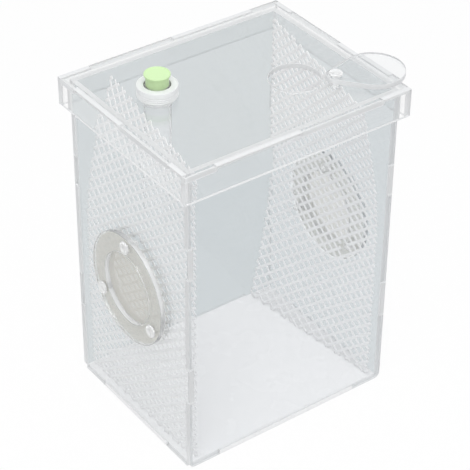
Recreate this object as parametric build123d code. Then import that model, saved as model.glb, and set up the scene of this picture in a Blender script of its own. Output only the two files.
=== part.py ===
from build123d import *
import os
from math import cos, hypot, radians, sin

# A small acrylic terrarium: five glued panels, a lift-off lid with a swivelling feeding-port cover,
# a drinking tube in a soft collar, two mesh vents held by clear rings, and two climbing nets.
# Millimetres. +X runs right along the front, +Y to the back, +Z up.
# The origin is the middle of the underside.

# Driving dimensions of the body
BODY_WIDTH = 140.0
BODY_DEPTH = 112.5
WALL_HEIGHT = 201.4
SHEET = 3.0
LOWER_CORNER = 4.0
FLOOR_TAB_FRONT = 97.8
FLOOR_TAB_SIDE = 65.0
WALL_TABS = ((48.0, 72.0), (134.0, 154.0))

# Driving dimensions of the lid
LID_OVERHANG = 4.7
LID_HEIGHT = 17.4
LID_FINGERS = ((0.132, 0.5), (0.868, 1.0))
PORT_RADIUS = 14.6
PORT_CENTRE = (30.2, -14.7)
PIVOT = (47.2, -29.0)
COVER_RADIUS = 17.6
COVER_EYE = 5.6
COVER_OPEN_ANGLE = -18.9
COVER_GAP = 0.1

# Driving dimensions of the drinking tube, its collar and its stopper
TUBE_CENTRE = (-40.7, 14.0)
TUBE_RADIUS = 7.5
TUBE_BORE = 6.45
TUBE_BELOW_LID = 75.0
TUBE_FIT = 0.05
COLLAR_RADIUS = 11.4
COLLAR_HEIGHT = 6.5
COLLAR_NECK = 9.2
COLLAR_LIP = 10.4
COLLAR_LIP_DROP = 2.0
COLLAR_LIP_TAPER = 1.4
RIBS = 2
RIB_PITCH = 1.6
RIB_DEPTH = 0.55
STOPPER_FLANGE = 7.3
STOPPER_FLANGE_THICK = 1.1
STOPPER_RADIUS = 6.4
STOPPER_TIP = 6.0
STOPPER_TIP_LONG = 2.5
STOPPER_STANDING = 6.6
STOPPER_DEPTH = 8.0

# Driving dimensions of the vents
VENT_HEIGHT = 96.0
VENT_HOLE = 22.0
RING_RADIUS = 34.4
MESH_RADIUS = 33.7
MESH_THICK = 0.4
RIVET_CIRCLE = 28.3
RIVET_ANGLES = (90.0, 210.0, 330.0)
RIVET_HOLE = 2.1
RIVET_SIDES = 16
RIVET_SHANK = 2.0
RIVET_HEAD = 4.0
RIVET_HEAD_THICK = 1.8
RIVET_HEAD_TAPER = 30.0
RIVET_TAIL = 2.6
RIVET_TAIL_LONG = 4.4
PIVOT_TAIL_LONG = 2.4

# Driving dimensions of the climbing nets
NET_DEPTH = 105.0
NET_TOP = 198.5
NET_THICK = 1.2
NET_STRAND = 2.6
NET_CURVE_POINTS = 10
NET_BEND = 1.6
LEFT_NET_AT = -63.5
LEFT_TOP_LEAN = 18.0
RIGHT_NET_FRONT_AT = 62.5
RIGHT_NET_SLANT = 3.5
RIGHT_TOP_LEAN = 17.0
RIGHT_FOOT_LEAN = 15.0
TOP_LEAN_FROM = 110.0
FOOT_LEAN_FROM = 100.0

# Worked-out sizes
HALF_WIDTH = BODY_WIDTH/2
HALF_DEPTH = BODY_DEPTH/2
INNER_WIDTH = BODY_WIDTH-2*SHEET
INNER_DEPTH = BODY_DEPTH-2*SHEET
LID_WIDTH = BODY_WIDTH+2*LID_OVERHANG
LID_DEPTH = BODY_DEPTH+2*LID_OVERHANG
LID_TOP = WALL_HEIGHT+SHEET
LID_BOTTOM = LID_TOP-LID_HEIGHT
PORT_REACH = hypot(PORT_CENTRE[0]-PIVOT[0], PORT_CENTRE[1]-PIVOT[1])


def block(x0, x1, y0, y1):
    """A flat rectangle between two pairs of coordinates."""
    return Pos((x0+x1)/2, (y0+y1)/2) * Rectangle(x1-x0, y1-y0)


def upright_x(outline, x, thickness):
    """A sheet square to X: the outline's two axes are Y and Z."""
    return extrude(Plane.YZ.offset(x) * outline, amount=thickness)


def upright_y(outline, y, thickness):
    """A sheet square to Y: the outline's two axes are X and Z, and y is its back face."""
    return extrude(Plane.XZ.offset(-y) * outline, amount=thickness)


def lying(outline, z, thickness):
    """A sheet lying flat, with its underside at height z."""
    return extrude(Plane.XY.offset(z) * outline, amount=thickness)


def turned(points):
    """A round piece from its half section, given as radius and height pairs."""
    return revolve(make_face(Plane.XZ * Polyline(*points, close=True)), Axis.Z)


def floor_panel():
    """The floor, whose long tabs come out flush through the four walls' lower edges."""
    outline = Rectangle(INNER_WIDTH, INNER_DEPTH)
    outline += Rectangle(FLOOR_TAB_FRONT, BODY_DEPTH)
    outline += Rectangle(BODY_WIDTH, FLOOR_TAB_SIDE)
    return lying(outline, 0, SHEET)


def long_wall_outline():
    """The front and the back wall: a slot for the floor's tab and notches for the side walls' tabs."""
    outline = block(-HALF_WIDTH, HALF_WIDTH, 0, WALL_HEIGHT)
    lower = outline.vertices().group_by(Axis.Y)[0]
    outline = fillet(lower, LOWER_CORNER)
    outline -= block(-FLOOR_TAB_FRONT/2, FLOOR_TAB_FRONT/2, 0, SHEET)
    for low, high in WALL_TABS:
        outline -= block(-HALF_WIDTH, SHEET-HALF_WIDTH, low, high)
        outline -= block(HALF_WIDTH-SHEET, HALF_WIDTH, low, high)
    return outline


def rivet_places():
    """Where the three rivets of a vent stand, as Y and Z."""
    return [
        (RIVET_CIRCLE*cos(radians(a)), VENT_HEIGHT+RIVET_CIRCLE*sin(radians(a)))
        for a in RIVET_ANGLES
    ]


def many_sided(radius):
    """The section of a small round that repeats, drawn with few sides."""
    return RegularPolygon(radius, RIVET_SIDES)


def rivet_holes():
    return [Pos(y, z) * many_sided(RIVET_HOLE) for y, z in rivet_places()]


def side_wall_outline():
    """A side wall: tabs into the long walls, a slot for the floor, the vent and its rivet holes."""
    outline = block(-INNER_DEPTH/2, INNER_DEPTH/2, 0, WALL_HEIGHT)
    for low, high in WALL_TABS:
        outline += block(-HALF_DEPTH, HALF_DEPTH, low, high)
    outline -= block(-FLOOR_TAB_SIDE/2, FLOOR_TAB_SIDE/2, 0, SHEET)
    outline -= Pos(0, VENT_HEIGHT) * Circle(VENT_HOLE)
    return outline - rivet_holes()


def vent_ring():
    """The clear ring that clamps the mesh against the right wall."""
    outline = Pos(0, VENT_HEIGHT) * (Circle(RING_RADIUS) - Circle(VENT_HOLE))
    return upright_x(outline - rivet_holes(), HALF_WIDTH+MESH_THICK, SHEET)


def vent_mesh():
    """The round of steel mesh between the right wall and its ring."""
    outline = Pos(0, VENT_HEIGHT) * Circle(MESH_RADIUS)
    return upright_x(outline - rivet_holes(), HALF_WIDTH, MESH_THICK)


def snap_rivet(section, grip, tail_long):
    """A snap rivet standing on Z: a low head above zero, a shank and a tail spread below the grip."""
    head = extrude(section(RIVET_HEAD), amount=RIVET_HEAD_THICK, taper=RIVET_HEAD_TAPER)
    shank = Pos(0, 0, -grip) * extrude(section(RIVET_SHANK), amount=grip)
    tail = Pos(0, 0, -grip-tail_long) * extrude(section(RIVET_TAIL), amount=tail_long)
    return head + shank + tail


def vent_rivets():
    """The three rivets of the right vent, each through ring, mesh and wall."""
    grip = MESH_THICK+2*SHEET
    rivet = Rot(0, 90, 0) * snap_rivet(many_sided, grip, RIVET_TAIL_LONG)
    face = HALF_WIDTH+MESH_THICK+SHEET
    return [Pos(face, y, z) * rivet for y, z in rivet_places()]


def to_left(piece):
    """The same piece on the left wall."""
    return mirror(piece, about=Plane.YZ)


def lean(share):
    """How far a net has come away from straight, from 0 to 1 along its free stretch."""
    return max(share, 0.0)**NET_BEND


def top_lean(z):
    """A net's lean at a height, growing to 1 at its top edge."""
    return lean((z-TOP_LEAN_FROM)/(NET_TOP-TOP_LEAN_FROM))


def foot_lean(z):
    """A net's lean at a height, growing to 1 at its foot."""
    return lean((FOOT_LEAN_FROM-z)/(FOOT_LEAN_FROM-SHEET))


def left_net_x(y, z):
    """The left net stands along the wall, and its upper back corner leans 18 mm inwards."""
    back = y/NET_DEPTH+0.5
    return LEFT_NET_AT+LEFT_TOP_LEAN*top_lean(z)*back


def right_net_x(y, z):
    """The right net leans in by 17 mm at its upper front corner and 15 mm at its lower back one."""
    back = y/NET_DEPTH+0.5
    upright = RIGHT_NET_FRONT_AT+RIGHT_NET_SLANT*back
    return upright-RIGHT_TOP_LEAN*top_lean(z)*(1-back)-RIGHT_FOOT_LEAN*foot_lean(z)*back


def net_outline():
    """A diamond mesh cut square, so its edges end in points, with gaps that line up with the rivets.

    Gaps sit on every second crossing of a grid of half a diamond's width by half its height.
    """
    half_wide = RIVET_CIRCLE*cos(radians(30))/3
    half_high = RIVET_CIRCLE*1.5/7
    across = 2*half_wide*half_high/hypot(half_wide, half_high)
    gap = 1-NET_STRAND/across
    diamond = Polygon(
        (gap*half_wide, 0), (0, gap*half_high), (-gap*half_wide, 0), (0, -gap*half_high), align=None
    )
    first = VENT_HEIGHT+RIVET_CIRCLE
    columns = int(NET_DEPTH/2/half_wide)+1
    gaps = []
    for i in range(-columns, columns+1):
        for j in range(int(-first/half_high), int((NET_TOP-first)/half_high)+2):
            if (i+j) % 2 == 0:
                gaps.append(Pos(i*half_wide, first+j*half_high) * diamond)
    return block(-NET_DEPTH/2, NET_DEPTH/2, SHEET, NET_TOP) - gaps


def net(x_at, near, far):
    """A curved sheet between its two upright edges, cut to the mesh's outline."""
    edges = []
    for y in (-NET_DEPTH/2-1, NET_DEPTH/2+1):
        heights = [SHEET-1+(NET_TOP-SHEET+2)*k/NET_CURVE_POINTS for k in range(NET_CURVE_POINTS+1)]
        edges.append(Edge.make_spline([Vector(x_at(y, z)-NET_THICK/2, y, z) for z in heights]))
    sheet = extrude(Face.make_surface_from_curves(*edges), amount=NET_THICK, dir=(1, 0, 0))
    return sheet & upright_x(net_outline(), near, far-near)


def strip_fingers(length):
    """The stretches of a lid strip that rise flush with the plate, measured from its middle."""
    return [(length*(low-0.5), length*(high-0.5)) for low, high in LID_FINGERS]


def front_strip():
    """The lid's front strip, with fingers that come up through the plate's edge."""
    outline = block(-LID_WIDTH/2, LID_WIDTH/2, LID_BOTTOM, WALL_HEIGHT)
    for low, high in strip_fingers(LID_WIDTH):
        outline += block(low, high, LID_BOTTOM, LID_TOP)
    return upright_y(outline, SHEET-LID_DEPTH/2, SHEET)


def right_strip():
    """The lid's right strip, which stands between the front and the back one."""
    end = LID_DEPTH/2-SHEET
    outline = block(-end, end, LID_BOTTOM, WALL_HEIGHT)
    for low, high in strip_fingers(LID_DEPTH):
        outline += block(low, min(high, end), LID_BOTTOM, LID_TOP)
    return upright_x(outline, LID_WIDTH/2-SHEET, SHEET)


def half_turn(piece):
    """The same piece on the opposite side of the lid."""
    return Rot(0, 0, 180) * piece


def lid_plate():
    """The lid's top, notched for the strips' fingers, with the feeding port and two smaller holes."""
    outline = Rectangle(LID_WIDTH, LID_DEPTH)
    notches = []
    for low, high in strip_fingers(LID_WIDTH):
        notches.append(block(low, high, -LID_DEPTH/2, SHEET-LID_DEPTH/2))
    for low, high in strip_fingers(LID_DEPTH):
        notches.append(block(LID_WIDTH/2-SHEET, LID_WIDTH/2, low, min(high, LID_DEPTH/2-SHEET)))
    outline -= notches
    outline -= [Rot(0, 0, 180) * notch for notch in notches]
    outline -= Pos(*PORT_CENTRE) * Circle(PORT_RADIUS)
    outline -= Pos(*PIVOT) * Circle(RIVET_HOLE)
    outline -= Pos(*TUBE_CENTRE) * Circle(COLLAR_NECK)
    return lying(outline, WALL_HEIGHT, SHEET)


def feed_cover():
    """The port's cover: a disc drawn out to an eye round the pivot, swung open past the edge."""
    disc = Pos(PORT_REACH, 0) * Circle(COVER_RADIUS)
    eye = Circle(COVER_EYE)
    outline = make_hull(disc.edges() + eye.edges()) - Circle(RIVET_HOLE)
    return lying(Pos(*PIVOT) * Rot(0, 0, COVER_OPEN_ANGLE) * outline, LID_TOP+COVER_GAP, SHEET)


def cover_rivet():
    """The rivet that the cover swivels on, with its tail spread under the lid."""
    grip = 2*SHEET+2*COVER_GAP
    return Pos(*PIVOT, WALL_HEIGHT+grip) * snap_rivet(Circle, grip, PIVOT_TAIL_LONG)


def tube_collar():
    """The soft collar: a band on the lid with a ribbed foot, a neck in its hole and a lip below it."""
    points = [(TUBE_RADIUS+TUBE_FIT, COLLAR_HEIGHT), (COLLAR_RADIUS, COLLAR_HEIGHT)]
    for k in range(RIBS, 0, -1):
        points.append((COLLAR_RADIUS, k*RIB_PITCH))
        points.append((COLLAR_RADIUS-RIB_DEPTH, (k-0.5)*RIB_PITCH))
    points.append((COLLAR_RADIUS, 0))
    points.append((COLLAR_NECK, 0))
    points.append((COLLAR_NECK, -SHEET))
    points.append((COLLAR_LIP, -SHEET))
    points.append((COLLAR_LIP-COLLAR_LIP_TAPER, -SHEET-COLLAR_LIP_DROP))
    points.append((TUBE_RADIUS+TUBE_FIT, -SHEET-COLLAR_LIP_DROP))
    return Pos(*TUBE_CENTRE, LID_TOP) * turned(points)


def drinking_tube():
    """The clear tube, open at both ends, level with the collar at its mouth."""
    wall = Circle(TUBE_RADIUS) - Circle(TUBE_BORE)
    bottom = LID_TOP-TUBE_BELOW_LID
    return lying(Pos(*TUBE_CENTRE) * wall, bottom, TUBE_BELOW_LID+COLLAR_HEIGHT)


def stopper():
    """The stopper: a thin flange over a plug that tapers at its tip."""
    under = STOPPER_STANDING-STOPPER_FLANGE_THICK
    points = [
        (0, -STOPPER_DEPTH),
        (STOPPER_TIP, -STOPPER_DEPTH),
        (STOPPER_RADIUS, STOPPER_TIP_LONG-STOPPER_DEPTH),
        (STOPPER_RADIUS, under),
        (STOPPER_FLANGE, under),
        (STOPPER_FLANGE, STOPPER_STANDING),
        (0, STOPPER_STANDING),
    ]
    return Pos(*TUBE_CENTRE, LID_TOP+COLLAR_HEIGHT) * turned(points)


long_wall = long_wall_outline()
side_wall = side_wall_outline()
pieces = {
    "floor_panel": floor_panel(),
    "front_panel": upright_y(long_wall, SHEET-HALF_DEPTH, SHEET),
    "back_panel": upright_y(long_wall, HALF_DEPTH, SHEET),
    "right_panel": upright_x(side_wall, HALF_WIDTH-SHEET, SHEET),
    "left_panel": upright_x(side_wall, -HALF_WIDTH, SHEET),
    "right_vent_mesh": vent_mesh(),
    "left_vent_mesh": to_left(vent_mesh()),
    "right_vent_ring": vent_ring(),
    "left_vent_ring": to_left(vent_ring()),
    "right_vent_rivets": Compound(vent_rivets()),
    "left_vent_rivets": Compound([to_left(rivet) for rivet in vent_rivets()]),
    "right_climbing_net": net(right_net_x, 40, HALF_WIDTH),
    "left_climbing_net": net(left_net_x, -HALF_WIDTH, -40),
    "lid_plate": lid_plate(),
    "lid_front_strip": front_strip(),
    "lid_back_strip": half_turn(front_strip()),
    "lid_right_strip": right_strip(),
    "lid_left_strip": half_turn(right_strip()),
    "feed_cover": feed_cover(),
    "cover_rivet": cover_rivet(),
    "tube_collar": tube_collar(),
    "drinking_tube": drinking_tube(),
    "tube_stopper": stopper(),
}

os.makedirs("parts", exist_ok=True)
for name, piece in pieces.items():
    export_step(piece, f"parts/{name}.step")
    print(name, round(piece.volume, 1))
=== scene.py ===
from math import cos, hypot, pi, radians, sin, tan

import bmesh
import bpy
import numpy as np
from mathutils import Matrix, Vector


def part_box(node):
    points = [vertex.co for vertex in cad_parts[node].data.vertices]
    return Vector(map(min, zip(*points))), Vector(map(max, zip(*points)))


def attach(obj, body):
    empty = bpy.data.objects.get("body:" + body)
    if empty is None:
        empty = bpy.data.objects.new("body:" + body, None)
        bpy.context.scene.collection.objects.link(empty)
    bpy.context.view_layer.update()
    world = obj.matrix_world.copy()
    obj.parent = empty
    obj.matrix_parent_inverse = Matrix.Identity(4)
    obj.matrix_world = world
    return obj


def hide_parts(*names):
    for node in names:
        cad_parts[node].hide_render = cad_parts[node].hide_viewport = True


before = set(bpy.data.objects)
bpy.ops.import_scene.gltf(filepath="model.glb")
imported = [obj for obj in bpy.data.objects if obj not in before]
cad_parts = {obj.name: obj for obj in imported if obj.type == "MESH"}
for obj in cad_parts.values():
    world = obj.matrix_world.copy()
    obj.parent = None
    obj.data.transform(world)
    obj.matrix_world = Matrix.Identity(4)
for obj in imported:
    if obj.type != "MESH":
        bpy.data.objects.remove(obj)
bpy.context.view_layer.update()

MM = 0.001

# A hair's width, kept between a piece and what it stands against
HAIR = 0.02*MM

# The tank, read from the frame
wall_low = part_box("left_panel")[0]
floor_low, floor_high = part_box("floor_panel")
SHEET = floor_high[2]-floor_low[2]
HALF_WIDTH = -wall_low[0]
EDGE_BREAK = 0.25*MM

# The climbing nets: a flat diamond mesh, whose rows drop a little towards the back
NET_DEPTH = 105*MM
NET_FOOT = SHEET+0.4*MM
NET_TOP = 198.2*MM
DIAMOND_WIDE = 8.8*MM
LEFT_DIAMOND_HIGH = 6.65*MM
RIGHT_DIAMOND_HIGH = 7.2*MM
LEFT_ROW_DROP = 2
RIGHT_ROW_DROP = 4
STRAND_WIDE = 1.3*MM
KNOT_WIDE = 1.95*MM
STRAND_THICK = 0.55*MM
STRAND_SIDES = 8
STRAND_SQUARENESS = 0.6
LAYER_OFFSET = 0.03*MM

# How far from a vent rivet's axis the strands end
RIVET_ROOM = 3.4*MM

# Where the nets stand, and how far their free corners lean inwards
LEFT_NET_AT = -63.5*MM
LEFT_TOP_LEAN = 18*MM
RIGHT_NET_FRONT_AT = 62.5*MM
RIGHT_NET_SLANT = 3.5*MM
RIGHT_TOP_LEAN = 17*MM
RIGHT_FOOT_LEAN = 15*MM
TOP_LEAN_FROM = 110*MM
TOP_LEAN_HIGH = 88.5*MM
FOOT_LEAN_FROM = 100*MM
FOOT_LEAN_HIGH = 97*MM
LEAN_POWER = 1.6

# The vents
VENT_HEIGHT = 96*MM
RING_RADIUS = 34.4*MM
MESH_RADIUS = 33.6*MM
MESH_THICK = 0.4*MM
# The side walls' own faint colour under the vent's ring, where the mesh hides the backdrop and no painted
# backdrop grey is added
UNDER_RING_TINT = (0.96, 0.965, 0.965)
WIRE_PITCH = 0.66*MM
WIRE = 0.19*MM
RIVET_CIRCLE = 28.3*MM
RIVET_ANGLES = (90, 210, 330)
RIVET_TAIL_LONG = 4.3*MM
RIVET_STEPS = 32
SLOT_DEPTH = 0.18
SLOT_RISE = 0.6*MM
SLOT_POWER = 14

# A snap rivet's half section, in millimetres: the head's radii and heights, then shank, barbs and tip
RIVET_HEAD = [
    (0.0, 1.25), (1.5, 1.3), (2.0, 1.62), (2.7, 1.75),
    (3.4, 1.45), (3.85, 0.9), (4.0, 0.4), (3.9, 0.03),
]
RIVET_SHANK = 1.95
BARB_COUNT = 3
BARB_WIDE = 2.55
BARB_NARROW = 1.95
BARB_SHRINK = 0.2
BARB_FROM = 0.15
BARB_PITCH = 1.25
BARB_HIGH = 0.95
TIP_WIDE = 1.2
TIP_NARROW = 0.6
TIP_HIGH = 0.35

# The drinking tube
TUBE_WALL = 1.05*MM
TUBE_CORNER = 0.3*MM

# The collar
COLLAR_SLACK = 0.05*MM
COLLAR_NECK = 9.15*MM
COLLAR_LIP = 10.4*MM
COLLAR_FOOT = 9*MM
COLLAR_CORNER = 0.22*MM
GROOVE_FROM = 0.2*MM
GROOVE_PITCH = 1.15*MM
GROOVE_HALF = 0.42*MM
GROOVE_DEPTH = 0.55*MM

# The stopper, with a shallow dish in its top and a plug that tapers at its end
DISH_DEPTH = 0.3*MM
DISH_MIDDLE_DEPTH = 0.35*MM
DISH_FROM_EDGE = 0.75*MM
RIM_WIDE = 0.55*MM
FLANGE_THICK = 1.1*MM
PLUG_RADIUS = 6.35*MM
PLUG_TIP_RADIUS = 5.95*MM
PLUG_TAPER_LONG = 2.5*MM
NEAR_AXIS = 1*MM
STOPPER_CORNER = 0.3*MM

# How far apart a hollow turned profile starts and ends, on a straight stretch of its bore
SEAM = 1*MM

# How finely and how far corners are rounded, and how deep the fine unevenness of surfaces is
CORNER_STEPS = 4
CORNER_SHARE = 0.45
BUMP_DEPTH = 0.2*MM

# The table and the light
TABLE_WIDE = 6
TABLE_DROP = 0.2*MM
GLOW_SHARE = 0.93
WORLD_COLOUR = (0.985, 0.99, 1, 1)
WORLD_STRENGTH = 0.77
LAMP_PLACE = (-0.25, -0.35, 1.1)
LAMP_AIM = Vector((0, 0, 0.1))
LAMP_WIDE = 0.7
LAMP_WATTS = 5

# The camera, from the photograph's own straight edges
FOCAL_LENGTH = 139.27
CAMERA_AZIMUTH = -36.393
CAMERA_ELEVATION = 36.024
CAMERA_ROLL = 0.580
ORIGIN_SEEN_AT = Vector((-2.177, -82.568, -1106.739))*MM


def principled(name, colour, roughness, **sockets):
    """A new material and its Principled shader, with constants set on the shader's own sockets."""
    made = bpy.data.materials.new(name)
    made.use_nodes = True
    shader = made.node_tree.nodes["Principled BSDF"]
    shader.inputs["Base Color"].default_value = (*colour, 1)
    shader.inputs["Roughness"].default_value = roughness
    for socket, value in sockets.items():
        shader.inputs[socket.replace("_", " ")].default_value = value
    return made, shader


def add(made, kind, **inputs):
    """A new node in a material's tree; the inputs are values or other nodes' outputs."""
    node = made.node_tree.nodes.new(kind)
    for socket, value in inputs.items():
        wire_up(made, node.inputs[socket.replace("_", " ")], value)
    return node


def wire_up(made, socket, value):
    """Links another node's output to a socket, or sets the socket to a constant."""
    if isinstance(value, bpy.types.NodeSocket):
        made.node_tree.links.new(value, socket)
    else:
        socket.default_value = value


def object_point(made):
    """The shaded point in the object's own coordinates, in metres."""
    return made.node_tree.nodes.new("ShaderNodeTexCoord").outputs["Object"]


def fine_bump(made, shader, scale, strength):
    """Fine unevenness from noise, as bump."""
    noise = add(made, "ShaderNodeTexNoise", Vector=object_point(made), Scale=scale, Detail=2)
    bump = add(made, "ShaderNodeBump", Height=noise.outputs["Fac"], Strength=strength, Distance=BUMP_DEPTH)
    made.node_tree.links.new(bump.outputs["Normal"], shader.inputs["Normal"])


def uneven_roughness(made, shader, low, high, scale):
    """Roughness that wanders between two values."""
    noise = add(made, "ShaderNodeTexNoise", Vector=object_point(made), Scale=scale, Detail=3)
    spread = add(made, "ShaderNodeMapRange", Value=noise.outputs["Fac"], To_Min=low, To_Max=high)
    made.node_tree.links.new(spread.outputs["Result"], shader.inputs["Roughness"])


def let_light_through(made, shader, share=1.0):
    """Lets this share of shadow and diffuse rays straight through, so that what is inside is lit."""
    tree = made.node_tree
    output = tree.nodes["Material Output"]
    clear = add(made, "ShaderNodeBsdfTransparent", Color=(share, share, share, 1))
    rays = tree.nodes.new("ShaderNodeLightPath")
    seen = shader.outputs[0]
    for ray in ("Is Diffuse Ray", "Is Shadow Ray"):
        mix = add(made, "ShaderNodeMixShader", Fac=rays.outputs[ray])
        tree.links.new(seen, mix.inputs[1])
        tree.links.new(clear.outputs[0], mix.inputs[2])
        seen = mix.outputs[0]
    tree.links.new(seen, output.inputs["Surface"])


def clear_acrylic(name, tint_and_painted_backdrop):
    """Polished cast acrylic: clear, with a colour that sets how grey it looks. On the walls most of that
    grey is painted: it stands in for the grey backdrop seen through them, not the acrylic's own colour.
    """
    made, shader = principled(name, tint_and_painted_backdrop, 0.0, Transmission_Weight=1.0, IOR=1.49)
    uneven_roughness(made, shader, 0.0, 0.035, 35)
    let_light_through(made, shader)
    return made


def side_acrylic(name, tint_and_painted_backdrop):
    """A side wall's sheet: clear_acrylic whose painted backdrop grey ends where the vent's ring and mesh
    cover it and hide the backdrop.

    The distance from the vent's axis is scaled so that the ring's radius lands halfway along a ramp,
    and the painted backdrop grey starts there.
    """
    halfway = 0.5
    made = clear_acrylic(name, tint_and_painted_backdrop)
    tree = made.node_tree
    point = object_point(made)
    centred = add(made, "ShaderNodeMapping", Vector=point, Location=(0, 0, -VENT_HEIGHT), Scale=(0, 1, 1))
    reach = tree.nodes.new("ShaderNodeVectorMath")
    reach.operation = "LENGTH"
    tree.links.new(centred.outputs["Vector"], reach.inputs[0])
    share = tree.nodes.new("ShaderNodeMath")
    share.operation = "MULTIPLY"
    tree.links.new(reach.outputs["Value"], share.inputs[0])
    share.inputs[1].default_value = halfway/RING_RADIUS
    ramp = tree.nodes.new("ShaderNodeValToRGB")
    ramp.color_ramp.interpolation = "CONSTANT"
    ramp.color_ramp.elements[0].color = (*UNDER_RING_TINT, 1)
    ramp.color_ramp.elements[1].color = (*tint_and_painted_backdrop, 1)
    ramp.color_ramp.elements[1].position = halfway
    tree.links.new(share.outputs[0], ramp.inputs["Fac"])
    tree.links.new(ramp.outputs["Color"], tree.nodes["Principled BSDF"].inputs["Base Color"])
    return made


def laser_cut_edge(name, roughness, clearness):
    """The cut edge of acrylic: pale and slightly ridged. More clearness lets more be seen through it."""
    made, shader = principled(
        name, (0.80, 0.81, 0.815), roughness, Transmission_Weight=clearness, IOR=1.49
    )
    fine_bump(made, shader, 900, 0.25)
    let_light_through(made, shader, 0.85)
    return made


def white_acrylic():
    """Opaque white sheet with a soft gloss."""
    made, shader = principled("white_acrylic", (0.88, 0.88, 0.885), 0.25, IOR=1.49)
    uneven_roughness(made, shader, 0.2, 0.34, 40)
    return made


def net_plastic():
    """White extruded plastic, waxy and opaque."""
    made, shader = principled("net_plastic", (0.88, 0.88, 0.885), 0.45, IOR=1.5)
    fine_bump(made, shader, 700, 0.2)
    return made


def steel_wire():
    """Fine drawn stainless wire."""
    made, shader = principled("steel_wire", (0.83, 0.82, 0.77), 0.38, Metallic=0.35)
    uneven_roughness(made, shader, 0.28, 0.42, 900)
    return made


def clear_nylon():
    """Clear moulded nylon, a little milky."""
    made, shader = principled("clear_nylon", (0.98, 0.985, 0.985), 0.08, Transmission_Weight=0.6, IOR=1.53)
    fine_bump(made, shader, 500, 0.3)
    let_light_through(made, shader, 0.95)
    return made


def frosted_silicone():
    """Soft frosted silicone, partly clear."""
    made, shader = principled(
        "frosted_silicone", (0.97, 0.985, 0.99), 0.4, Transmission_Weight=0.32, IOR=1.41
    )
    fine_bump(made, shader, 600, 0.25)
    let_light_through(made, shader, 0.7)
    return made


def clear_tube():
    """Clear thin-walled tube."""
    made, shader = principled("clear_tube", (0.985, 0.99, 0.995), 0.15, Transmission_Weight=0.88, IOR=1.12)
    let_light_through(made, shader)
    return made


def lime_rubber():
    """Lime green moulded rubber."""
    made, shader = principled("lime_rubber", (0.61, 0.82, 0.45), 0.38, IOR=1.5)
    fine_bump(made, shader, 500, 0.25)
    return made


def placed(name, data):
    """A new object for a mesh, lamp or camera, put in the scene at the origin."""
    holder = bpy.data.objects.new(name, data)
    bpy.context.collection.objects.link(holder)
    return holder


def finish_piece(piece, body, nodes):
    """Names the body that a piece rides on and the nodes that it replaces."""
    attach(piece, body)
    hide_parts(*nodes)


def mesh_object(name, points, faces, finishes):
    """A new piece from arrays of points and faces, at the origin, with its faces turned outwards."""
    mesh = bpy.data.meshes.new(name)
    mesh.from_pydata(points.tolist(), [], faces.tolist() if isinstance(faces, np.ndarray) else faces)
    mesh.update()
    work = bmesh.new()
    work.from_mesh(mesh)
    bmesh.ops.recalc_face_normals(work, faces=work.faces)
    work.to_mesh(mesh)
    work.free()
    for finish in finishes:
        mesh.materials.append(finish)
    mesh.polygons.foreach_set("use_smooth", np.full(len(mesh.polygons), True))
    return placed(name, mesh)


def sheet_piece(name, node, thin_axis, face_finish, edge_finish):
    """A laser-cut sheet: a merged copy of its solid, a hair smaller, with its edges broken.

    Faces square to the thin axis are polished sheet, and all others are cut edge.
    """
    work = bmesh.new()
    work.from_mesh(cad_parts[node].data)
    bmesh.ops.remove_doubles(work, verts=work.verts, dist=0.001*MM)
    bmesh.ops.dissolve_limit(work, angle_limit=radians(0.5), verts=work.verts, edges=work.edges)
    work.normal_update()
    shift = {v: v.normal*HAIR*v.calc_shell_factor() for v in work.verts}
    for v, step in shift.items():
        v.co -= step
    for f in work.faces:
        f.material_index = 0 if abs(f.normal[thin_axis]) > 0.9 else 1
        f.smooth = True
    mesh = bpy.data.meshes.new(name)
    work.to_mesh(mesh)
    work.free()
    mesh.materials.append(face_finish)
    mesh.materials.append(edge_finish)
    piece = placed(name, mesh)
    broken = piece.modifiers.new("broken_edges", "BEVEL")
    broken.width = EDGE_BREAK
    broken.segments = 2
    broken.limit_method = "ANGLE"
    broken.angle_limit = radians(40)
    broken.material = 1
    flat = piece.modifiers.new("flat_faces", "WEIGHTED_NORMAL")
    flat.mode = "FACE_AREA"
    flat.weight = 100
    return piece


def turned_points(profile, centre, axis, steps):
    """A turned surface: profile's radius at an angle round the axis, and its height along it.

    A point is the centre, plus its profile point's height along the axis, plus that point's radius
    times the angle's cosine along one direction across the axis and its sine along the other.
    """
    axis = np.array(axis, float)
    side = np.array((0.0, 1.0, 0.0)) if abs(axis[1]) < 0.5 else np.array((1.0, 0.0, 0.0))
    other = np.cross(axis, side)
    t = np.linspace(0, 2*pi, steps, endpoint=False)
    ring = np.cos(t)[:, None]*side+np.sin(t)[:, None]*other
    profile = np.array(profile, float)
    return np.array(centre)+profile[:, 1, None, None]*axis+profile[:, 0, None, None]*ring


def grid_faces(rows, columns, wrap_rows):
    """Quads between neighbours of a grid whose columns close round; wrap_rows joins last row to first."""
    i = np.arange(rows if wrap_rows else rows-1)
    j = np.arange(columns)
    a, b = np.meshgrid(i, j, indexing="ij")
    down = (a+1) % rows
    right = (b+1) % columns
    quads = np.stack([a*columns+b, a*columns+right, down*columns+right, down*columns+b], axis=-1)
    return quads.reshape(-1, 4)


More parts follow.
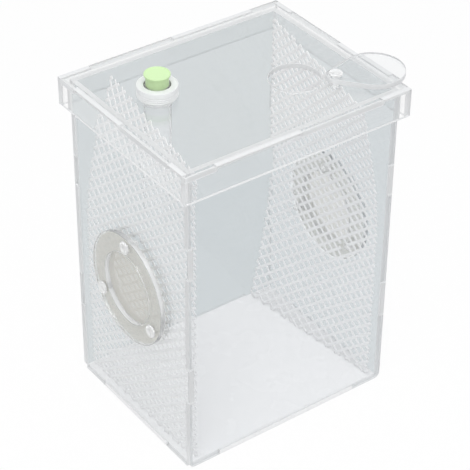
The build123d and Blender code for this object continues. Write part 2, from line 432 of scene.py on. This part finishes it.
def turned_piece(name, profile, centre, axis, finish, steps=72, hollow=False):
    """A turned piece. A solid one's first and last profile points lie on the axis and become poles."""
    if hollow:
        points = turned_points(profile, centre, axis, steps)
        return mesh_object(name, points.reshape(-1, 3), grid_faces(len(profile), steps, True), [finish])
    inner = turned_points(profile[1:-1], centre, axis, steps)
    rows = len(profile)-2
    poles = turned_points([profile[0], profile[-1]], centre, axis, 1).reshape(-1, 3)
    points = np.concatenate([inner.reshape(-1, 3), poles])
    quads = grid_faces(rows, steps, False).tolist()
    first, last = len(points)-2, len(points)-1
    j = np.arange(steps)
    fan_a = np.stack([np.full(steps, first), (j+1) % steps, j], axis=-1).tolist()
    base = (rows-1)*steps
    fan_b = np.stack([np.full(steps, last), base+j, base+(j+1) % steps], axis=-1).tolist()
    return mesh_object(name, points, quads+fan_a+fan_b, [finish])


def rounded(points, radius):
    """A profile whose corners are rounded: each inner corner becomes a short quadratic curve.

    A curve starts at the radius from its corner, or at CORNER_SHARE of a shorter side.
    """
    points = [np.array(p, float) for p in points]
    out = [points[0]]
    for before, corner, after in zip(points, points[1:], points[2:]):
        into = before-corner
        away = after-corner
        reach = min(radius, CORNER_SHARE*np.linalg.norm(into), CORNER_SHARE*np.linalg.norm(away))
        start = corner+into/np.linalg.norm(into)*reach
        end = corner+away/np.linalg.norm(away)*reach
        t = np.linspace(0, 1, CORNER_STEPS+1)[:, None]
        out.extend((1-t)**2*start+2*t*(1-t)*corner+t**2*end)
    out.append(points[-1])
    return [tuple(p) for p in out]


def closed_faces(points):
    """The faces round rows of section points, with the first and the last row closed."""
    rows, sides = points.shape[:2]
    faces = grid_faces(rows, sides, False).tolist()
    faces.append(list(range(sides-1, -1, -1)))
    faces.append([sides*(rows-1)+k for k in range(sides)])
    return faces


def carried(path, across, through, wide, thick):
    """A rounded section of STRAND_SIDES sides carried along a path, closed at both ends.

    A section point is half of wide times its angle's cosine across, and half of thick times the sine
    through. Both are raised to STRAND_SQUARENESS and keep their signs, so that the section is nearly a
    rectangle.
    """
    a = (np.arange(STRAND_SIDES)+0.5)*2*pi/STRAND_SIDES
    c = np.sign(np.cos(a))*np.abs(np.cos(a))**STRAND_SQUARENESS
    s = np.sign(np.sin(a))*np.abs(np.sin(a))**STRAND_SQUARENESS
    across_part = 0.5*wide[:, None, None]*c[None, :, None]*across[:, None, :]
    through_part = 0.5*thick*s[None, :, None]*through[:, None, :]
    points = path[:, None, :]+across_part+through_part
    return points.reshape(-1, 3), closed_faces(points)


def gathered(name, parts, finishes):
    """One piece from several lots of points and faces."""
    start = 0
    points = []
    faces = []
    for some_points, some_faces in parts:
        points.append(some_points)
        faces.extend([[start+k for k in f] for f in some_faces])
        start += len(some_points)
    return mesh_object(name, np.concatenate(points), faces, finishes)


def top_lean(z):
    """The share of its lean that a net's upper corner has reached: 0 at TOP_LEAN_FROM, 1 at the top."""
    return np.maximum((z-TOP_LEAN_FROM)/TOP_LEAN_HIGH, 0)**LEAN_POWER


def foot_lean(z):
    """The share of its lean that a net's lower corner has reached: 0 at FOOT_LEAN_FROM, 1 at the foot."""
    return np.maximum((FOOT_LEAN_FROM-z)/FOOT_LEAN_HIGH, 0)**LEAN_POWER


def left_net_x(y, z):
    """The left net stands along the wall, and its upper back corner leans inwards."""
    back = y/NET_DEPTH+0.5
    return LEFT_NET_AT+LEFT_TOP_LEAN*top_lean(z)*back


def right_net_x(y, z):
    """The right net leans inwards at its upper front corner and at its lower back one."""
    back = y/NET_DEPTH+0.5
    upright = RIGHT_NET_FRONT_AT+RIGHT_NET_SLANT*back
    return upright-RIGHT_TOP_LEAN*top_lean(z)*(1-back)-RIGHT_FOOT_LEAN*foot_lean(z)*back


def rivet_places():
    """Where the three rivets of a vent stand, as Y and Z."""
    return [
        (RIVET_CIRCLE*cos(radians(a)), VENT_HEIGHT+RIVET_CIRCLE*sin(radians(a)))
        for a in RIVET_ANGLES
    ]


def net_strands(x_at, diamond_high, row_drop):
    """All strands of one net: two sets of slanting lines, cut off square at the net's four edges.

    A strand runs along (half a diamond's width, plus or minus half its height). Its width swells
    from STRAND_WIDE between knots to KNOT_WIDE at them, as the fourth power of a cosine. The whole
    pattern then slides down by y times the tangent of the rows' drop. Strands end short of the vent
    rivets' tails, which reach further into the box than the nets stand.
    """
    half_wide = DIAMOND_WIDE/2
    half_high = diamond_high/2
    side = hypot(half_wide, half_high)
    quarter = side/4
    spacing = 2*half_wide*half_high/side
    middle_z = (NET_FOOT+NET_TOP)/2
    reach = hypot(NET_DEPTH, NET_TOP-NET_FOOT)/2
    count = int(reach/spacing)+1
    parts = []
    for sign in (1, -1):
        along = np.array((half_wide, sign*half_high))/side
        square = np.array((-along[1], along[0]))
        for k in range(-count, count+1):
            steps = np.arange(-int(reach/quarter), int(reach/quarter)+1)
            y = along[0]*steps*quarter+square[0]*(k+0.5)*spacing
            z = middle_z+along[1]*steps*quarter+square[1]*(k+0.5)*spacing
            phase = knot_phase(y, z-middle_z, half_wide, half_high, sign)
            z = z-y*tan(radians(row_drop))
            keep = (abs(y) < NET_DEPTH/2) & (z > NET_FOOT) & (z < NET_TOP)
            for rivet_y, rivet_z in rivet_places():
                keep &= np.hypot(y-rivet_y, z-rivet_z) > RIVET_ROOM
            for run in runs_of(keep):
                if len(run) < 2:
                    continue
                parts.append(one_strand(x_at, y[run], z[run], phase[run], sign))
    return parts


def knot_phase(y, z, half_wide, half_high, sign):
    """A strand's distance from its nearest knot, as an angle that is 0 at knots and pi between them."""
    other = y/half_wide-sign*z/half_high
    return pi*(other-1)


def runs_of(keep):
    """The stretches of neighbouring steps that are kept, as lists of indices."""
    kept = np.flatnonzero(keep)
    if len(kept) == 0:
        return []
    return np.split(kept, np.flatnonzero(np.diff(kept) > 1)+1)


def one_strand(x_at, y, z, phase, sign):
    """One strand on the net's curved sheet, a little off its middle so that the two layers show."""
    x = x_at(y, z)+sign*LAYER_OFFSET
    path = np.stack([x, y, z], axis=-1)
    slope = np.gradient(path, axis=0)
    slope /= np.linalg.norm(slope, axis=1)[:, None]
    through = np.tile((1.0, 0.0, 0.0), (len(path), 1))
    across = np.cross(slope, through)
    across /= np.linalg.norm(across, axis=1)[:, None]
    through = np.cross(across, slope)
    wide = STRAND_WIDE+(KNOT_WIDE-STRAND_WIDE)*np.cos(phase/2)**4
    return carried(path, across, through, wide, STRAND_THICK)


def woven_mesh(name, side, finish):
    """A round of plain woven wire cloth.

    Wire i lies at i pitches from the middle. Its height is plus or minus half a wire at each crossing,
    turn about, so that every wire passes over one neighbour and under the next.
    """
    x_middle = side*(HALF_WIDTH+MESH_THICK/2)
    parts = []
    count = int(MESH_RADIUS/WIRE_PITCH)
    for i in range(-count, count+1):
        half = int(np.sqrt(MESH_RADIUS**2-(i*WIRE_PITCH)**2)/WIRE_PITCH)
        if half < 1:
            continue
        j = np.arange(-half, half+1)
        over = np.where((i+j) % 2 == 0, 0.5, -0.5)*WIRE
        for upright in (False, True):
            height = x_middle+(over if upright else -over)
            run = j*WIRE_PITCH
            fixed = np.full(len(j), i*WIRE_PITCH)
            y, z = (fixed, run) if upright else (run, fixed)
            path = np.stack([height, y, VENT_HEIGHT+z], axis=-1)
            parts.append(wire(path, upright))
    return gathered(name, parts, [finish])


def wire(path, upright):
    """A four-sided wire along a path."""
    across = np.array((0.0, 1.0, 0.0)) if upright else np.array((0.0, 0.0, 1.0))
    through = np.array((1.0, 0.0, 0.0))
    a = np.arange(4)*pi/2
    offsets = 0.5*WIRE*(np.cos(a)[:, None]*across+np.sin(a)[:, None]*through)
    points = path[:, None, :]+offsets
    return points.reshape(-1, 3), closed_faces(points)


def rivet_profile(grip, tail_long):
    """A snap rivet's half section in millimetres: a domed head with a dimple, a shank and a barbed tail."""
    tail_end = grip+tail_long
    shank = [(RIVET_SHANK, 0.0), (RIVET_SHANK, -grip)]
    barbs = []
    for k in range(BARB_COUNT):
        top = grip+BARB_FROM+BARB_PITCH*k
        barbs.append((BARB_WIDE-BARB_SHRINK*k, -top))
        barbs.append((BARB_NARROW-BARB_SHRINK*k, -top-BARB_HIGH))
    tip = [(TIP_WIDE, -tail_end+TIP_HIGH), (TIP_NARROW, -tail_end), (0.0, -tail_end)]
    return RIVET_HEAD+shank+barbs+tip


def snap_rivet(centre, axis, grip):
    """A clear snap rivet, as points and faces, with its head above the centre along the axis.

    Four slots shorten the tail's radius. The share that they take is SLOT_DEPTH times the sum of the
    angle's cosine and sine, each without its sign and raised to SLOT_POWER. It grows from nothing at
    the grip to all of that at SLOT_RISE below it.
    """
    profile = np.array(rivet_profile(grip/MM, RIVET_TAIL_LONG/MM))*MM
    t = np.linspace(0, 2*pi, RIVET_STEPS, endpoint=False)
    points = turned_points(profile, (0, 0, 0), axis, RIVET_STEPS)
    depth = np.clip((-profile[:, 1]-grip)/SLOT_RISE, 0, 1)
    slots = np.abs(np.cos(t))**SLOT_POWER+np.abs(np.sin(t))**SLOT_POWER
    legs = 1-SLOT_DEPTH*depth[:, None]*slots[None, :]
    on_axis = np.array(axis)*profile[:, 1, None]
    points = on_axis[:, None, :]+(points-on_axis[:, None, :])*legs[:, :, None]
    points += np.array(centre)
    return points.reshape(-1, 3), grid_faces(len(profile), RIVET_STEPS, False).tolist()


def merge_poles(piece):
    """Closes a turned piece's poles by merging the points that lie on its axis."""
    work = bmesh.new()
    work.from_mesh(piece.data)
    bmesh.ops.remove_doubles(work, verts=work.verts, dist=0.002*MM)
    bmesh.ops.recalc_face_normals(work, faces=work.faces)
    work.to_mesh(piece.data)
    work.free()


def vent_rivets(side, finish):
    """One vent's three snap rivets, through its ring, mesh and wall."""
    name = ("right" if side > 0 else "left")+"_snap_rivets"
    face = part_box("right_vent_ring")[1][0]
    grip = face-(HALF_WIDTH-SHEET)
    parts = [snap_rivet((side*face, y, z), (side, 0, 0), grip) for y, z in rivet_places()]
    piece = gathered(name, parts, [finish])
    merge_poles(piece)
    return piece


# Finishes. The walls' colours are painted past a faint grey of their own: they stand in for the grey
# backdrop seen through each wall, so the back and right walls are much darker than the front.
front_sheet = clear_acrylic("front_sheet", (0.90, 0.915, 0.925))
back_sheet = clear_acrylic("back_sheet", (0.65, 0.69, 0.705))
left_sheet = side_acrylic("left_sheet", (0.89, 0.905, 0.91))
right_sheet = side_acrylic("right_sheet", (0.70, 0.735, 0.75))
ring_sheet = clear_acrylic("ring_sheet", (0.87, 0.875, 0.86))
lid_sheet = clear_acrylic("lid_sheet", (0.95, 0.955, 0.955))
strip_sheet = clear_acrylic("strip_sheet", (0.99, 0.99, 0.99))
cover_sheet = clear_acrylic("cover_sheet", (0.93, 0.94, 0.945))
cut_edge = laser_cut_edge("cut_edge", 0.4, 0.18)
polished_edge = laser_cut_edge("polished_edge", 0.12, 0.65)
white_sheet = white_acrylic()
net_white = net_plastic()
wire_steel = steel_wire()
nylon = clear_nylon()
silicone = frosted_silicone()
tube_clear = clear_tube()
lime = lime_rubber()

# Sheets
sheets = [
    ("floor_sheet", "floor_panel", 2, white_sheet, white_sheet, "tank", "white_acrylic"),
    ("front_wall", "front_panel", 1, front_sheet, cut_edge, "tank", "clear_acrylic"),
    ("back_wall", "back_panel", 1, back_sheet, cut_edge, "tank", "clear_acrylic"),
    ("left_wall", "left_panel", 0, left_sheet, cut_edge, "tank", "clear_acrylic"),
    ("right_wall", "right_panel", 0, right_sheet, cut_edge, "tank", "clear_acrylic"),
    ("left_ring", "left_vent_ring", 0, ring_sheet, polished_edge, "tank", "clear_acrylic"),
    ("right_ring", "right_vent_ring", 0, ring_sheet, polished_edge, "tank", "clear_acrylic"),
    ("lid_top", "lid_plate", 2, lid_sheet, cut_edge, "lid", "clear_acrylic"),
    ("lid_front_side", "lid_front_strip", 1, strip_sheet, cut_edge, "lid", "clear_acrylic"),
    ("lid_back_side", "lid_back_strip", 1, strip_sheet, cut_edge, "lid", "clear_acrylic"),
    ("lid_left_side", "lid_left_strip", 0, strip_sheet, cut_edge, "lid", "clear_acrylic"),
    ("lid_right_side", "lid_right_strip", 0, strip_sheet, cut_edge, "lid", "clear_acrylic"),
    ("port_cover", "feed_cover", 2, cover_sheet, cut_edge, "cover", "clear_acrylic"),
]
for name, node, thin_axis, face_finish, edge_finish, body, slot in sheets:
    piece = sheet_piece(name, node, thin_axis, face_finish, edge_finish)
    finish_piece(piece, body, [node])

# Vents
for side, word in ((1, "right"), (-1, "left")):
    cloth = woven_mesh(word+"_wire_cloth", side, wire_steel)
    finish_piece(cloth, "tank", [word+"_vent_mesh"])
    finish_piece(vent_rivets(side, nylon), "tank", [word+"_vent_rivets"])

# Nets
nets = [
    ("left", left_net_x, LEFT_DIAMOND_HIGH, LEFT_ROW_DROP),
    ("right", right_net_x, RIGHT_DIAMOND_HIGH, RIGHT_ROW_DROP),
]
for word, x_at, diamond_high, row_drop in nets:
    net = gathered(word+"_net", net_strands(x_at, diamond_high, row_drop), [net_white])
    finish_piece(net, "tank", [word+"_climbing_net"])

# The cover's rivet, standing on its pivot
cover_low, cover_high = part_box("cover_rivet")
pivot = ((cover_low[0]+cover_high[0])/2, (cover_low[1]+cover_high[1])/2)
cover_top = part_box("feed_cover")[1][2]
lid_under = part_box("lid_plate")[0][2]
cover_rivet = gathered(
    "pivot_rivet", [snap_rivet((*pivot, cover_top+HAIR), (0, 0, 1), cover_top-lid_under)], [nylon]
)
merge_poles(cover_rivet)
finish_piece(cover_rivet, "lid", ["cover_rivet"])

# The drinking tube, its collar and its stopper
tube_low, tube_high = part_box("drinking_tube")
tube_axis = ((tube_low[0]+tube_high[0])/2, (tube_low[1]+tube_high[1])/2)
tube_radius = (tube_high[0]-tube_low[0])/2
tube_middle = (tube_low[2]+tube_high[2])/2
bore = tube_radius-TUBE_WALL
tube_profile = rounded([
    (bore, tube_middle),
    (bore, tube_high[2]),
    (tube_radius, tube_high[2]),
    (tube_radius, tube_low[2]),
    (bore, tube_low[2]),
    (bore, tube_middle-SEAM),
], TUBE_CORNER)
tube = turned_piece("tube", tube_profile, (*tube_axis, 0), (0, 0, 1), tube_clear, hollow=True)
finish_piece(tube, "tube", ["drinking_tube"])

collar_low, collar_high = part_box("tube_collar")
lid_top_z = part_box("lid_plate")[1][2]
collar_radius = (collar_high[0]-collar_low[0])/2
collar_rise = collar_high[2]-lid_top_z
collar_bore = tube_radius+COLLAR_SLACK


def collar_profile():
    """The collar's half section: a rounded rim, a smooth upper band, three ribs, a neck and a lip."""
    points = [(collar_bore, 0.5*collar_rise), (collar_bore, collar_rise), (collar_radius, collar_rise)]
    for k in (3, 2, 1):
        groove = (k-0.5)*GROOVE_PITCH+GROOVE_FROM
        points.append((collar_radius, groove+GROOVE_HALF))
        points.append((collar_radius-GROOVE_DEPTH, groove))
        points.append((collar_radius, groove-GROOVE_HALF))
    points.append((collar_radius, HAIR))
    points.append((COLLAR_NECK, HAIR))
    points.append((COLLAR_NECK, -SHEET-HAIR))
    points.append((COLLAR_LIP, -SHEET-HAIR))
    points.append((COLLAR_FOOT, collar_low[2]-lid_top_z))
    points.append((collar_bore, collar_low[2]-lid_top_z))
    points.append((collar_bore, 0.5*collar_rise-SEAM))
    return rounded(points, COLLAR_CORNER)


collar = turned_piece(
    "collar", collar_profile(), (*tube_axis, lid_top_z), (0, 0, 1), silicone, steps=96, hollow=True
)
finish_piece(collar, "lid", ["tube_collar"])

stopper_low, stopper_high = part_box("tube_stopper")
flange = (stopper_high[0]-stopper_low[0])/2
stopper_top = stopper_high[2]
stopper_profile = [(0, stopper_top-DISH_MIDDLE_DEPTH)]+rounded([
    (0.5*flange, stopper_top-DISH_DEPTH),
    (flange-DISH_FROM_EDGE, stopper_top-DISH_DEPTH),
    (flange-RIM_WIDE, stopper_top),
    (flange, stopper_top),
    (flange, stopper_top-FLANGE_THICK),
    (PLUG_RADIUS, stopper_top-FLANGE_THICK),
    (PLUG_RADIUS, stopper_low[2]+PLUG_TAPER_LONG),
    (PLUG_TIP_RADIUS, stopper_low[2]),
    (NEAR_AXIS, stopper_low[2]),
], STOPPER_CORNER)+[(0, stopper_low[2])]
stopper = turned_piece("stopper", stopper_profile, (*tube_axis, 0), (0, 0, 1), lime, steps=96)
finish_piece(stopper, "stopper", ["tube_stopper"])


def seen_directly(tree):
    """1 for rays from the camera, off gloss or through glass, and 0 for all others."""
    rays = tree.nodes.new("ShaderNodeLightPath")
    seen = rays.outputs["Is Camera Ray"]
    for ray in ("Is Glossy Ray", "Is Transmission Ray"):
        either = tree.nodes.new("ShaderNodeMath")
        either.operation = "MAXIMUM"
        tree.links.new(seen, either.inputs[0])
        tree.links.new(rays.outputs[ray], either.inputs[1])
        seen = either.outputs[0]
    return seen


def floor_finish():
    """A pale table that shows white to the eye and still keeps some of the shadow."""
    made, shader = principled("table_white", (0.9, 0.9, 0.9), 0.6)
    tree = made.node_tree
    glow = add(made, "ShaderNodeEmission", Color=(1, 1, 1, 1), Strength=1.0)
    share = tree.nodes.new("ShaderNodeMath")
    share.operation = "MULTIPLY"
    tree.links.new(seen_directly(tree), share.inputs[0])
    share.inputs[1].default_value = GLOW_SHARE
    mix = add(made, "ShaderNodeMixShader", Fac=share.outputs[0])
    tree.links.new(shader.outputs[0], mix.inputs[1])
    tree.links.new(glow.outputs[0], mix.inputs[2])
    tree.links.new(mix.outputs[0], tree.nodes["Material Output"].inputs["Surface"])
    return made


bpy.ops.mesh.primitive_plane_add(size=TABLE_WIDE, location=(0, 0, -TABLE_DROP))
table = bpy.context.object
table.name = "table_top"
table.data.materials.append(floor_finish())


def studio_world():
    """Even soft light, with a white surround for whatever sees it directly, off gloss or through glass."""
    world = bpy.data.worlds.new("studio")
    world.use_nodes = True
    bpy.context.scene.world = world
    tree = world.node_tree
    light = tree.nodes["Background"]
    light.inputs["Color"].default_value = WORLD_COLOUR
    light.inputs["Strength"].default_value = WORLD_STRENGTH
    white = tree.nodes.new("ShaderNodeBackground")
    white.inputs["Color"].default_value = (1, 1, 1, 1)
    white.inputs["Strength"].default_value = 1.0
    mix = tree.nodes.new("ShaderNodeMixShader")
    tree.links.new(seen_directly(tree), mix.inputs[0])
    tree.links.new(light.outputs[0], mix.inputs[1])
    tree.links.new(white.outputs[0], mix.inputs[2])
    tree.links.new(mix.outputs[0], tree.nodes["World Output"].inputs["Surface"])


def area_lamp(name, place, size, watts):
    """A soft lamp that looks at the middle of the tank."""
    lamp = bpy.data.lights.new(name, "AREA")
    lamp.shape = "SQUARE"
    lamp.size = size
    lamp.energy = watts
    holder = placed(name, lamp)
    holder.location = place
    holder.rotation_euler = (LAMP_AIM-Vector(place)).to_track_quat("-Z", "Y").to_euler()


studio_world()
area_lamp("key", LAMP_PLACE, LAMP_WIDE, LAMP_WATTS)


def photo_camera():
    """The camera at the photograph's angle, moved so that the tank's origin lands where it is seen."""
    a = radians(CAMERA_AZIMUTH)
    e = radians(CAMERA_ELEVATION)
    r = radians(CAMERA_ROLL)
    back = Vector((sin(a)*cos(e), -cos(a)*cos(e), sin(e)))
    level = Vector((cos(a), sin(a), 0))
    upright = back.cross(level)
    right = cos(r)*level+sin(r)*upright
    up = -sin(r)*level+cos(r)*upright
    place = -(right*ORIGIN_SEEN_AT[0]+up*ORIGIN_SEEN_AT[1]+back*ORIGIN_SEEN_AT[2])
    lens = bpy.data.cameras.new("photo_camera")
    lens.lens = FOCAL_LENGTH
    lens.sensor_width = 36
    camera = placed("photo_camera", lens)
    turn = Matrix((right, up, back)).transposed().to_4x4()
    camera.matrix_world = Matrix.Translation(place) @ turn
    bpy.context.scene.camera = camera


photo_camera()
bpy.context.scene.view_settings.view_transform = "Standard"
